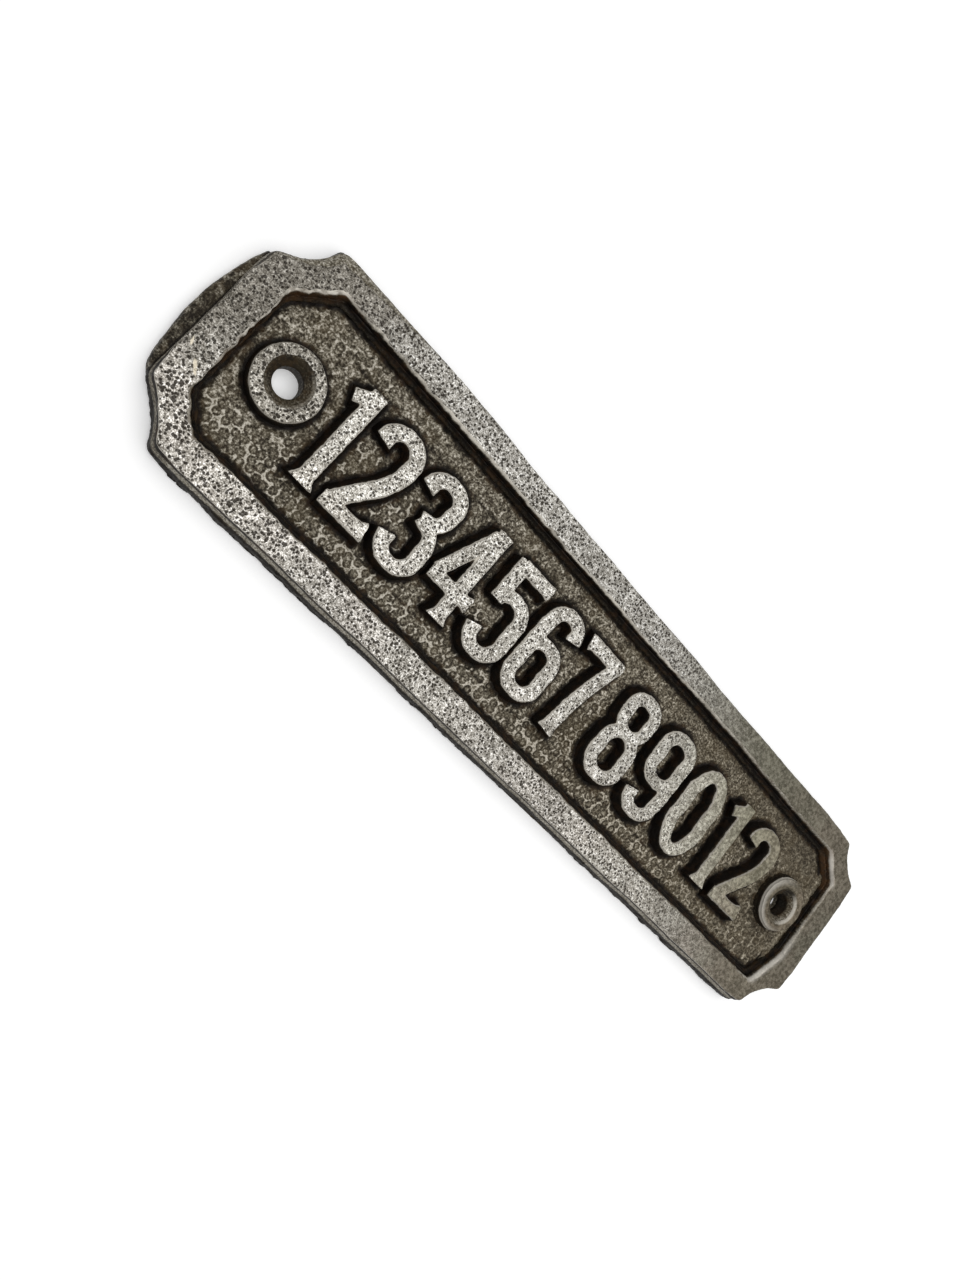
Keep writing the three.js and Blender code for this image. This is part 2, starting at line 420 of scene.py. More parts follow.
def makeGate():
    sizes = gateSizes
    upper, lower, taperFrom = sizes["upperEnd"], sizes["lowerEnd"], sizes["taperFrom"]
    radius, top = sizes["radius"], sizes["top"]
    bpy.ops.mesh.primitive_cylinder_add(
        vertices=720, radius=radius * mm, depth=(top + 1) * mm,
        location=metres(sizes["tip"] + radius, sizes["middle"], (top - 1) / 2))
    gate = named("gateStub")
    applyPlace(gate)
    block = makeBlock("gateBlock", (10, upper - lower, 20), (sizes["root"] - 5, (upper + lower) / 2, 0))
    cut(gate, block, "INTERSECT")
    editPick(gate, "edges", lambda edge: min(vertex.co.z for vertex in edge.verts) > (top - 0.01) * mm
             and min(vertex.co.x for vertex in edge.verts) < (sizes["root"] - 0.01) * mm)
    bpy.ops.mesh.bevel(offset=sizes["edge"] * mm, segments=2, affect="EDGES")
    objectMode()
    remesh(gate, sizes["voxel"])
    modify(gate, "SMOOTH", factor=0.5, iterations=sizes["wear"])
    weigh(gate, "taper", lambda place: (max(0, taperFrom - place.y) / (taperFrom - lower)) ** 2)
    push(gate, "taper", "X", sizes["taper"])
    roughen(gate, sizes["rough"])
    flatten(gate, sizes["bottom"], -1)
    smooth(gate)
    print("gate: stub left on the end")
    return gate


gateStub = makeGate()


# The two screw bosses: one drafted ring, copied, and each drilled a little off its middle

bossSizes = {
    "radius": 6.0, "footRadius": 6.55, "footHeight": 3, "rawBottom": 0.2, "rawTop": 5.25, "edge": 0.4,
    "voxel": 0.2, "bottom": 0.4, "sinkDepth": 1.5,
    "rough": [("ringWander", 2.6, 0.3), ("ringGrain", 0.6, 0.1)],
    # the left boss is crisp, the right one is worn round, and the drill left a burr at the back of its hole
    "left": {"place": (-72.6, 0.0), "stretch": (1, 1), "wear": 2,
             "hole": (-72.6, 0.25), "holeRadius": 2.5, "sinkRadius": 4.15, "burr": 0.0},
    "right": {"place": (74.1, 0.3), "stretch": (0.935, 0.965), "wear": 8,
              "hole": (74.55, 0.1), "holeRadius": 2.35, "sinkRadius": 4.3, "burr": 0.7},
}


def drillTool(spot, burr=0.0):
    # a spun profile: the drill below, the countersink above with a slight chatter step
    hole, sink, depth = spot["holeRadius"] - burr, spot["sinkRadius"], bossSizes["sinkDepth"]
    top, flare = groundHeight, sink - hole
    profile = [(0, -1), (hole, -1), (hole, top - depth),
               (hole + 0.48 * flare, top - 0.56 * depth), (hole + 0.52 * flare, top - 0.44 * depth),
               (sink, top), (sink + flare / depth, top + 1), (0, top + 1)]
    bpy.ops.mesh.primitive_plane_add(size=1)
    tool = named("drillTool")
    mesh = bmesh.new()
    points = [mesh.verts.new(metres(radius, 0, height)) for radius, height in profile]
    for first, second in zip(points, points[1:]):
        mesh.edges.new((first, second))
    mesh.to_mesh(tool.data)
    mesh.free()
    pickOnly(tool)
    bpy.ops.object.mode_set(mode="EDIT")
    bpy.ops.mesh.select_all(action="SELECT")
    bpy.ops.mesh.spin(steps=96, angle=2 * pi, center=(0, 0, 0), axis=(0, 0, 1))
    bpy.ops.mesh.select_all(action="SELECT")
    bpy.ops.mesh.remove_doubles(threshold=0.001 * mm)
    faceOutward()
    objectMode()
    tool.location = metres(*spot["hole"], 0)
    applyPlace(tool)
    return tool


def makeBosses():
    sizes = bossSizes
    top, foot = sizes["rawTop"], sizes["footHeight"]
    ring = makeCone("bossLeft", foot, top, sizes["footRadius"], sizes["radius"])
    editPick(ring, "faces", lambda face: face.normal.z < -0.9)
    drop = (sizes["rawBottom"] - foot) * mm
    bpy.ops.mesh.extrude_region_move(TRANSFORM_OT_translate={"value": (0, 0, drop)})
    editPick(ring, "edges", lambda edge: min(vertex.co.z for vertex in edge.verts) > (top - 0.01) * mm)
    bpy.ops.mesh.bevel(offset=sizes["edge"] * mm, segments=4, affect="EDGES")
    objectMode()
    remesh(ring, sizes["voxel"])
    roughen(ring, sizes["rough"])
    other = copyOf("bossRight", ring)
    for boss, side in ((ring, "left"), (other, "right")):
        spot = sizes[side]
        boss.location = metres(*spot["place"], 0)
        boss.scale = (*spot["stretch"], 1)
        applyPlace(boss)
        cut(boss, drillTool(spot))
        remesh(boss, sizes["voxel"])
        modify(boss, "SMOOTH", factor=0.5, iterations=spot["wear"])
        flatten(boss, groundHeight, 1)
        trim(boss, -3, sizes["bottom"])
        smooth(boss, groundHeight)
        cut(castBack, drillTool(spot, spot["burr"]))
    print("bosses: cast, drilled, countersunk and ground")
    return ring, other


bossLeft, bossRight = makeBosses()


# The raised numbers: plain condensed figures drawn as strokes, with flared ends and drafted sides

numberSizes = {
    "voxel": 0.18, "draft": 0.375, "foot": 2.4, "capWear": 0.25, "wear": 2,
    "rough": [("numberWander", 1.6, 0.24), ("numberGrain", 0.5, 0.1)],
    "rows": [("1234567", -65.2, 1.1), ("89012", 10.9, 1.8)],  # figures, where they start, gaps between them
}

# How wide each figure is, and its strokes: lists of (x, y, width) in millimetres about the figure's middle.
# "bend" strokes are smooth through their points, "bar" strokes run straight, and "ring" strokes are smooth
# and close: one half is given, and it is mirrored.
numberStrokes = {
    "0": (10.3, [
        ("ring", [(0, 8.6, 2.4), (3.5, 4.6, 3.1), (3.6, 0, 3.2), (3.5, -4.6, 3.1), (0, -8.6, 2.4)])]),
    "1": (6.5, [
        ("bar", [(0.9, 9.8, 3.0), (0.9, 8.4, 2.9), (0.9, -8.0, 2.9), (0.9, -8.7, 3.6), (0.9, -9.8, 5.2)]),
        ("bar", [(0.6, 8.3, 2.6), (-1.2, 7.2, 2.3), (-2.5, 6.6, 2.2)])]),
    "2": (9.8, [
        ("bend", [(-3.3, 5.0, 3.5), (-2.9, 7.0, 3.0), (0, 8.6, 2.4), (2.9, 7.2, 2.9), (3.4, 4.4, 3.1),
                  (2.3, 0.2, 3.0), (-0.6, -4.2, 2.9), (-3.2, -8.3, 2.8)]),
        ("bar", [(-4.6, -8.5, 2.6), (2.6, -8.5, 2.5), (3.6, -8.4, 2.8), (4.8, -8.1, 3.6)])]),
    "3": (9.8, [
        ("bend", [(-3.4, 5.2, 3.4), (-2.8, 7.3, 2.8), (0, 8.6, 2.4), (2.9, 7.2, 2.9), (3.2, 4.6, 3.0),
                  (2.2, 1.7, 2.6), (-0.9, 0.7, 2.3)]),
        ("bend", [(-0.9, 0.7, 2.3), (2.4, -0.5, 2.6), (3.4, -3.9, 3.2), (2.9, -7.2, 2.9), (0, -8.6, 2.4),
                  (-2.9, -7.3, 2.8), (-3.5, -5.0, 3.5)])]),
    "4": (10.4, [
        ("bar", [(1.7, 9.8, 3.4), (1.7, 8.6, 2.9), (1.7, -8.2, 2.9), (1.7, -8.8, 3.4), (1.7, -9.8, 4.7)]),
        ("bar", [(0.9, 8.6, 2.6), (-3.9, -3.4, 2.5)]),
        ("bar", [(-4.9, -4.0, 2.5), (3.8, -4.0, 2.4), (4.9, -4.0, 3.2)])]),
    "5": (9.6, [
        ("bar", [(-3.4, 8.5, 2.6), (3.0, 8.5, 2.5), (4.4, 8.4, 3.1)]),
        ("bar", [(-3.2, 9.4, 3.0), (-3.2, 0.6, 2.9)]),
        ("bend", [(-3.2, 1.4, 2.2), (-1.8, 2.5, 2.3), (0.4, 2.9, 2.4), (2.9, 1.4, 2.9), (3.4, -2.6, 3.2),
                  (2.9, -7.0, 2.9), (0, -8.6, 2.4), (-2.8, -7.3, 2.8), (-3.4, -5.1, 3.4)])]),
    "6": (9.6, [
        ("ring", [(0, 1.4, 2.3), (2.9, 0.1, 2.8), (3.3, -3.6, 3.1), (2.9, -7.2, 2.9), (0, -8.6, 2.4)]),
        ("bend", [(-3.3, -3.8, 3.1), (-3.3, 0.8, 3.1), (-3.1, 5.0, 3.0), (-2.2, 7.6, 2.7), (0.1, 8.6, 2.4),
                  (2.7, 7.5, 2.8), (3.2, 5.3, 3.4)])]),
    "7": (9.4, [
        ("bar", [(-4.7, 8.2, 3.4), (-3.6, 8.5, 2.8), (4.6, 8.5, 2.5)]),
        ("bend", [(3.4, 8.4, 2.7), (1.9, 3.6, 2.8), (0.5, -2.2, 3.0), (-0.2, -8.0, 3.1),
                  (-0.4, -9.8, 3.9)])]),
    "8": (10.3, [
        ("ring", [(0, 8.6, 2.4), (2.8, 7.4, 2.7), (3.2, 4.9, 2.9), (2.6, 2.1, 2.6), (0, 0.9, 2.2)]),
        ("ring", [(0, 0.9, 2.2), (2.9, -0.4, 2.8), (3.6, -3.8, 3.1), (3.1, -7.2, 2.9), (0, -8.6, 2.4)])]),
    "9": (10.3, [
        ("ring", [(0, -1.4, 2.3), (-3.0, -0.1, 2.8), (-3.5, 3.6, 3.1), (-3.1, 7.2, 2.9), (0, 8.6, 2.4)]),
        ("bend", [(3.5, 3.8, 3.1), (3.5, -0.8, 3.1), (3.3, -5.0, 3.0), (2.4, -7.6, 2.7), (-0.1, -8.6, 2.4),
                  (-2.9, -7.5, 2.8), (-3.4, -5.3, 3.4)])]),
}


def drawnCurve(data):
    curve = bpy.data.objects.new(data.name, data)
    bpy.context.collection.objects.link(curve)
    return curve


def strokeProfile():
    # the cross-section of a stroke one millimetre wide: its edges worn, wider below
    draft = numberSizes["draft"]
    outline = [(-0.41, 0.16), (-0.41, 0.0), (-0.5, -0.08), (-0.5 - 1.07 * draft, -1.15),
               (0.5 + 1.07 * draft, -1.15), (0.5, -0.08), (0.41, 0.0), (0.41, 0.16)]
    data = bpy.data.curves.new("strokeProfile", "CURVE")
    data.dimensions = "2D"
    data.fill_mode = "NONE"
    spline = data.splines.new("POLY")
    spline.points.add(len(outline) - 1)
    for point, (x, y) in zip(spline.points, outline):
        point.co = (x * mm, y * mm, 0, 1)
    spline.use_cyclic_u = True
    return drawnCurve(data)


def drawNumber(figure, profile):
    sizes = numberSizes
    data = bpy.data.curves.new("number" + figure, "CURVE")
    data.dimensions = "3D"
    data.twist_mode = "Z_UP"
    data.resolution_u = 10
    data.bevel_mode = "OBJECT"
    data.bevel_object = profile
    data.use_fill_caps = True
    for kind, points in numberStrokes[figure][1]:
        if kind == "ring":
            points = points + [(-x, y, width) for x, y, width in points[-2:0:-1]]
        spline = data.splines.new("BEZIER")
        spline.bezier_points.add(len(points) - 1)
        for point, (x, y, width) in zip(spline.bezier_points, points):
            point.co = metres(x, y, groundHeight)
            point.radius = width
            point.handle_left_type = point.handle_right_type = "VECTOR" if kind == "bar" else "AUTO"
        spline.use_cyclic_u = kind == "ring"
    pickOnly(drawnCurve(data))
    bpy.ops.object.convert(target="MESH")
    number = named("number" + figure)
    editPick(number, "faces", lambda face: len(face.verts) > 4)
    mesh = bmesh.from_edit_mesh(number.data)
    for cap in [face for face in mesh.faces if face.select]:
        out = Vector((cap.normal.x, cap.normal.y, 0)).normalized()
        top = max(vertex.co.z for vertex in cap.verts)
        for vertex in cap.verts:
            vertex.co += out * (top - vertex.co.z) * sizes["draft"]
            if top - vertex.co.z < 0.1 * mm:
                vertex.co -= out * sizes["capWear"] * mm
    bmesh.update_edit_mesh(number.data)
    faceOutward()
    objectMode()
    remesh(number, sizes["voxel"])
    modify(number, "SMOOTH", factor=0.5, iterations=sizes["wear"])
    roughen(number, sizes["rough"])
    flatten(number, groundHeight, 1)
    trim(number, -3, sizes["foot"])
    smooth(number, groundHeight)
    return number


def makeNumbers():
    profile = strokeProfile()
    drawn, row = {}, []
    for text, left, gap in numberSizes["rows"]:
        for figure in text:
            wide = numberStrokes[figure][0]
            if figure in drawn:
                number = copyOf("number" + figure + "again", drawn[figure])
            else:
                number = drawNumber(figure, profile)
                drawn[figure] = copyOf("pattern" + figure, number)
            number.location = metres(left + wide / 2, 0, 0)
            applyPlace(number)
            row.append(number)
            left += wide + gap
    for pattern in drawn.values():
        bpy.data.objects.remove(pattern)
    bpy.data.objects.remove(profile)
    print("numbers:", len(row), "figures raised and ground")
    return row


numbers = makeNumbers()


# The sunk field: a dense sheet with punched dimples and a groove along everything that stands on it

fieldSizes = {
    "half": (82.2, 16.6), "cellsAlong": 680, "cellsAcross": 137, "height": 3.0, "bottom": 0.4,
    "bossOpening": 4.2, "markPitch": 1.85, "rowPitch": 1.45, "nudge": 0.4, "markRadius": (0.85, 1.15),
    "markDepth": 0.32, "markLevel": 0.15, "sill": (80.8, 0.8, 0.25),
    # the groove is shallower at the sill and round the right boss
    "grooveReach": 1.6, "grooveDepth": 0.28, "shallow": 0.4, "shallowReach": 9,
    # the numbers stand in a faintly sunk panel, whose rim is a shallow groove with a dark line of painted
    # shade above and below them
    "panelLines": [(10.7, -66.5, 8, 0.85), (-11.3, -66.5, 40, 0.6)], "lineWidth": 0.5,
    "rough": [("fieldWaves", 7, 0.12), ("fieldGrain", 0.6, 0.12)],
}


def lineInPanel(place):
    depths = [(first < place.x < last) * share * (1 - abs(place.y - line) / fieldSizes["lineWidth"])
              for line, first, last, share in fieldSizes["panelLines"]]
    return max(0, *depths)


def markField(field):
    # rows of punched dimples, each nudged a little and of its own size
    sizes, chance, nudge = fieldSizes, Random(7), fieldSizes["nudge"]
    reachX, reachY = sizes["half"]
    marks, y = [], -reachY
    while y < reachY:
        x = -reachX + chance.uniform(0, sizes["markPitch"])
        while x < reachX:
            marks.append((x, y + chance.uniform(-nudge, nudge), chance.uniform(*sizes["markRadius"])))
            x += sizes["markPitch"] + chance.uniform(-nudge, nudge)
        y += sizes["rowPitch"]
    tree = kdtree.KDTree(len(marks))
    for index, (x, y, _) in enumerate(marks):
        tree.insert((x, y, 0), index)
    tree.balance()

    def bowl(place):
        index, away = tree.find((place.x, place.y, 0))[1:]
        return 1 - (away / marks[index][2]) ** 2

    weigh(field, "marks", bowl)
    push(field, "marks", "Z", -sizes["markDepth"], sizes["markLevel"])


def makeField(raised):
    sizes = fieldSizes
    bpy.ops.mesh.primitive_grid_add(x_subdivisions=sizes["cellsAlong"], y_subdivisions=sizes["cellsAcross"],
                                    size=2, location=(0, 0, sizes["height"] * mm))
    field = named("castField")
    field.scale = (sizes["half"][0] * mm, sizes["half"][1] * mm, 1)
    applyPlace(field)
    centres = [Vector(bossSizes[side]["place"]) * mm for side in ("left", "right")]
    editPick(field, "faces", lambda face: any((face.calc_center_median().xy - centre).length
                                              < sizes["bossOpening"] * mm for centre in centres))
    bpy.ops.mesh.delete(type="FACE")
    objectMode()

    standing = copyOf("standing", *raised)
    bpy.ops.object.join()
    weigh(field, "groove", lambda place: 1)
    modify(field, "VERTEX_WEIGHT_PROXIMITY", vertex_group="groove", target=standing,
           proximity_mode="GEOMETRY", proximity_geometry={"FACE"}, min_dist=sizes["grooveReach"] * mm,
           max_dist=0, falloff_type="SMOOTH")
    bpy.data.objects.remove(standing)
    groove = field.vertex_groups["groove"]
    middle, reach, rise = sizes["sill"]
    shallowReach = sizes["shallowReach"] * mm
    for vertex in field.data.vertices:
        line = lineInPanel(vertex.co / mm)
        depth = max((share.weight for share in vertex.groups), default=0)
        if line > depth:
            groove.add([vertex.index], line, "REPLACE")
        elif vertex.co.x > (middle - reach) * mm or (vertex.co.xy - centres[1]).length < shallowReach:
            groove.add([vertex.index], depth * sizes["shallow"], "REPLACE")
    markField(field)
    weigh(field, "sill", lambda place: 1 - abs(place.x - middle) / reach)
    push(field, "sill", "Z", rise)
    roughen(field, sizes["rough"], direction="Z")
    push(field, "groove", "Z", -sizes["grooveDepth"])
    keepShade(field, "groove", "grooveShade")
    keepShade(field, "marks", "markShade")

    editPick(field, "edges", lambda edge: edge.is_boundary)
    bpy.ops.mesh.extrude_edges_move(TRANSFORM_OT_translate={"value": (0, 0, -1 * mm)})
    bpy.ops.transform.resize(value=(1, 1, 0), center_override=(0, 0, sizes["bottom"] * mm))
    bpy.ops.mesh.fill(use_beauty=False)
    faceOutward()
    smooth(field)
    print("field: dimpled and grooved")
    return field


castField = makeField([castBorder, bossLeft, bossRight, *numbers])


# Colours are written as they read on screen, 0 to 255

def tone(red, green, blue):
    return tuple(((part / 255 + 0.055) / 1.055) ** 2.4 for part in (red, green, blue)) + (1,)


class Wire:
    # a node's output, with which sums and products are written as such
    def __init__(self, socket):
        self.socket = socket
        self.tree = socket.id_data

    def __add__(self, other):
        return maths("ADD", self, other)

    def __sub__(self, other):
        return maths("SUBTRACT", self, other)

    def __rsub__(self, other):
        return maths("SUBTRACT", other, self)

    def __mul__(self, other):
        return maths("MULTIPLY", self, other)

    def __truediv__(self, other):
        return maths("DIVIDE", self, other)

    def __abs__(self):
        return maths("ABSOLUTE", self)


def treeOf(*values):
    return next(value.tree for value in values if isinstance(value, Wire))


def outputsOf(node):
    return {output.name: Wire(output) for output in node.outputs}


def plug(socket, value):
    if isinstance(value, Wire):
        value.tree.links.new(value.socket, socket)
    else:
        socket.default_value = value


def addNode(tree, kind, settings=None, **sockets):
    # sockets go by their name, with _ for a space, or by their number, as in i0
    node = tree.nodes.new("ShaderNode" + kind)
    for key, value in (settings or {}).items():
        setattr(node, key, value)
    for key, value in sockets.items():
        plug(node.inputs[int(key[1:]) if key[1:].isdigit() else key.replace("_", " ")], value)
    return node


def wire(tree, kind, output=0, settings=None, **sockets):
    return Wire(addNode(tree, kind, settings, **sockets).outputs[output])


def ramp(factor, *stops):
    node = addNode(factor.tree, "ValToRGB", Fac=factor)
    elements = node.color_ramp.elements
    while len(elements) < len(stops):
        elements.new(1)
    for element, (place, colour) in zip(elements, stops):
        element.position = place
        element.color = colour if isinstance(colour, tuple) else (colour, colour, colour, 1)
    return Wire(node.outputs[0])


def maths(operation, first, second=0.0, clamp=False):
    settings = {"operation": operation, "use_clamp": clamp}
    return wire(treeOf(first, second), "Math", 0, settings, i0=first, i1=second)


def largest(first, *others):
    for other in others:
        first = maths("MAXIMUM", first, other)
    return first


def span(value, low, high, fromLow=0.0, toHigh=1.0):
    # a soft step between two values
    return wire(value.tree, "MapRange", 0, {"interpolation_type": "SMOOTHSTEP"}, Value=value,
                From_Min=low, From_Max=high, To_Min=fromLow, To_Max=toHigh)


def blend(factor, first, second, kind="MIX"):
    return wire(treeOf(factor, first, second), "Mix", 2, {"data_type": "RGBA", "blend_type": kind},
                i0=factor, i6=first, i7=second)


def mix(factor, first, second):
    return wire(factor.tree, "Mix", i0=factor, i2=first, i3=second)


def noise(place, size, detail=2.0, rough=0.5):
    # size is the pattern's spacing in millimetres
    return wire(place.tree, "TexNoise", Vector=place, Scale=1 / (size * mm), Detail=detail, Roughness=rough)


def cells(place, size):
    return wire(place.tree, "TexVoronoi", "Distance", Vector=place, Scale=1 / (size * mm))


def shifted(place, size, reach):
    # a place moved about by noise, so that a pattern of cells loses its round outlines
    wobble = wire(place.tree, "TexNoise", "Color", Vector=place, Scale=1 / (size * mm), Detail=1.0)
    return wire(place.tree, "VectorMath", 0, {"operation": "MULTIPLY_ADD"},
                i0=wobble, i1=metres(reach, reach, reach), i2=place)


def millimetres(place):
    return [part * (1 / mm) for part in outputsOf(addNode(place.tree, "SeparateXYZ", Vector=place)).values()]


def attribute(place, name):
    return wire(place.tree, "Attribute", "Fac", {"attribute_name": name})


# The two finishes that the pieces share: each takes a place and some values

def newGroup(name, **values):
    group = bpy.data.node_groups.new(name, "ShaderNodeTree")
    group.interface.new_socket("Place", in_out="INPUT", socket_type="NodeSocketVector")
    for label, value in values.items():
        group.interface.new_socket(label, in_out="INPUT", socket_type="NodeSocketFloat").default_value = value
    for label, kind in (("Colour", "Color"), ("Height", "Float"), ("Roughness", "Float")):
        group.interface.new_socket(label, in_out="OUTPUT", socket_type="NodeSocket" + kind)
    return group, outputsOf(group.nodes.new("NodeGroupInput"))


def closeGroup(group, *results):
    for socket, result in zip(group.nodes.new("NodeGroupOutput").inputs, results):
        plug(socket, result)
    return group


def useGroup(group, place, **sockets):
    return outputsOf(addNode(place.tree, "Group", {"node_tree": group}, Place=place, **sockets))


def groundGroup():
    # iron ground flat: silver-grey between dark pits, darker with painted shade and less pitted towards the
    # right end
    group, given = newGroup("groundIron", Pitting=0.5)
    place = given["Place"]
    x, y = millimetres(place)[:2]
    lean = y * 0.75
    # towards the right end: painted shade, and a calmer grain
    shadedCalmRight = span(x + lean, 18, 64)
    shadedLeftEnd = span(lean - x, 74, 87)  # the upper left end, darkened with painted shade and a little calmer
    fine = noise(place, 0.25, 2.0, 0.6)
    soft = noise(place, 0.75)
    patchy = noise(place, 5) - 0.5
    grain = fine * 0.65 + soft * 0.35 + patchy * 0.12
    grey = ramp(grain, (0.35, tone(76, 72, 65)), (0.45, tone(130, 126, 118)), (0.54, tone(171, 168, 161)),
                (0.65, tone(238, 236, 231)))
    calm = maths("ADD", shadedCalmRight * 0.75, shadedLeftEnd * 0.12, clamp=True)
    broad = ramp(soft + patchy * 0.4, (0.36, tone(128, 124, 116)), (0.64, tone(178, 174, 166)))
    clusters = (noise(place, 1.5, 2.0, 0.6) - 0.5) * 0.5
    # the lower left: coarser pits, and brighter with a painted sheen
    coarseAndSheen = span(x, -40, -72) * span(y, 0, -14)
    edge = given["Pitting"] * 0.2 + coarseAndSheen * 0.06 + 0.24 + clusters
    pits = span(cells(shifted(place, 0.4, 0.35), 0.62) - edge, 0.07, -0.1) * (0.92 - calm)
    even = blend(coarseAndSheen, blend(calm, grey, broad), (1.34, 1.34, 1.33, 1), "MULTIPLY")
    colour = blend(pits, even, tone(52, 46, 38))
    # painted shade darkens both ends, a painted sheen brightens the lower side in two stretches, and the
    # right end is browner
    lower = span(y, -8, -15)
    window = span(x, 14, 24) * span(x, 58, 38)
    hue = span(x, 48, 74, 0, 0.8) + span(y, -4, -14, 0, 0.2)
    hue = maths("MULTIPLY", hue, span(noise(place, 9), 0.35, 0.65, 0.5, 1.5), clamp=True)
    tints = [(shadedCalmRight, tone(180, 179, 166)), (shadedLeftEnd, tone(198, 195, 190)),
             (lower * span(x, -70, -20), (1.14, 1.14, 1.13, 1)), (lower * window, (1.15, 1.15, 1.14, 1)),
             (hue, (1.02, 0.952, 0.957, 1))]
    for share, tint in tints:
        colour = blend(share, colour, tint, "MULTIPLY")
    return closeGroup(group, colour, grain - pits, span(grain, 0.36, 0.6, 0.62, 0.42) + pits * 0.2)


def patinaGroup():
    # brown-black iron: a dark dent at Tone 0, a worn grey ridge at Tone 1, black at Depth 1, with rust tints
    group, given = newGroup("oldPatina", Tone=0.5, Depth=0.0, Rust=0.3, Calm=0.0)
    place, depth = given["Place"], given["Depth"]
    grain = noise(place, 0.36, 3.0, 0.65)
    lively = mix(given["Calm"], grain * 1.35 - 0.175, 0.5)
    brown = ramp(lively + (given["Tone"] - 0.5) * 0.6, (0.22, tone(32, 27, 20)), (0.4, tone(68, 62, 51)),
                 (0.55, tone(102, 96, 83)), (0.68, tone(142, 136, 122)), (0.84, tone(196, 191, 180)))
    warm = blend(span(noise(place, 6, 3.0, 0.55), 0.45, 0.7, 0, 0.22), brown, tone(92, 80, 56))
    deep = blend(depth, warm, tone(15, 10, 5))
    spots = maths("MULTIPLY", span(noise(place, 1.8, 3.0, 0.6), 0.46, 0.66), given["Rust"], clamp=True)
    rusty = blend(spots, deep, blend(depth, tone(78, 61, 38), tone(46, 30, 15)))
    return closeGroup(group, rusty, grain, span(grain, 0.3, 0.7, 0.72, 0.5))


groundIron = groundGroup()
oldPatina = patinaGroup()


def emptyTree(owner):
    owner.use_nodes = True
    owner.node_tree.nodes.clear()
    return owner.node_tree


def newMaterial(name):
    # gives the place on the piece, also in millimetres, and the height there, even and made uneven by noise
    material = bpy.data.materials.new(name)
    place = wire(emptyTree(material), "TexCoord", "Object")
    x, y, height = millimetres(place)
    return material, place, x, y, height, height + (noise(place, 1.2) - 0.5) * 0.35


def finishMaterial(colour, roughness, height, metallic, bumpDistance):
    tree = colour.tree
    bump = wire(tree, "Bump", Height=height, Strength=0.6, Distance=bumpDistance * mm)
    shader = wire(tree, "BsdfPrincipled", Base_Color=colour, Roughness=roughness, Metallic=metallic,
                  Specular_IOR_Level=0.2, Normal=bump)
    addNode(tree, "OutputMaterial", Surface=shader)


def groundAbove(place, height, pitting, slope, wornSheen, marks=0.0, tint=(1, 1, 1, 1), start=4.93, full=4.985,
                rubbedSheen=0.0):
    # the ground face lies over the slopes: their worn edges shine with a painted highlight, rubbed places get
    # a painted sheen, and marks are cream flecks
    ground = useGroup(groundIron, place, Pitting=pitting)
    top = span(height, start, full)
    face = blend(marks, blend(1.0, ground["Colour"], tint, "MULTIPLY"), tone(208, 199, 180))
    below = blend(wornSheen, slope["Colour"], tone(222, 216, 204))
    colour = blend(rubbedSheen, blend(top, below, face), tone(190, 186, 178))
    roughness = mix(top, slope["Roughness"], ground["Roughness"])
    relief = mix(top, slope["Height"], ground["Height"])
    finishMaterial(colour, roughness, relief, span(height, start - 0.13, full, 0.2, 0.75), 0.12)


def fleck(place, middle, turn, length, width):
    # a ragged cream streak on the ground face, given by half its length and width
    inside = wire(place.tree, "Mapping", 0, {"vector_type": "TEXTURE"}, Vector=shifted(place, 0.5, 0.5),
                  Location=metres(*middle, groundHeight), Rotation=(0, 0, radians(turn)),
                  Scale=metres(length, width, 5))
    return span(wire(place.tree, "VectorMath", "Value", {"operation": "LENGTH"}, Vector=inside), 1.1, 0.7)


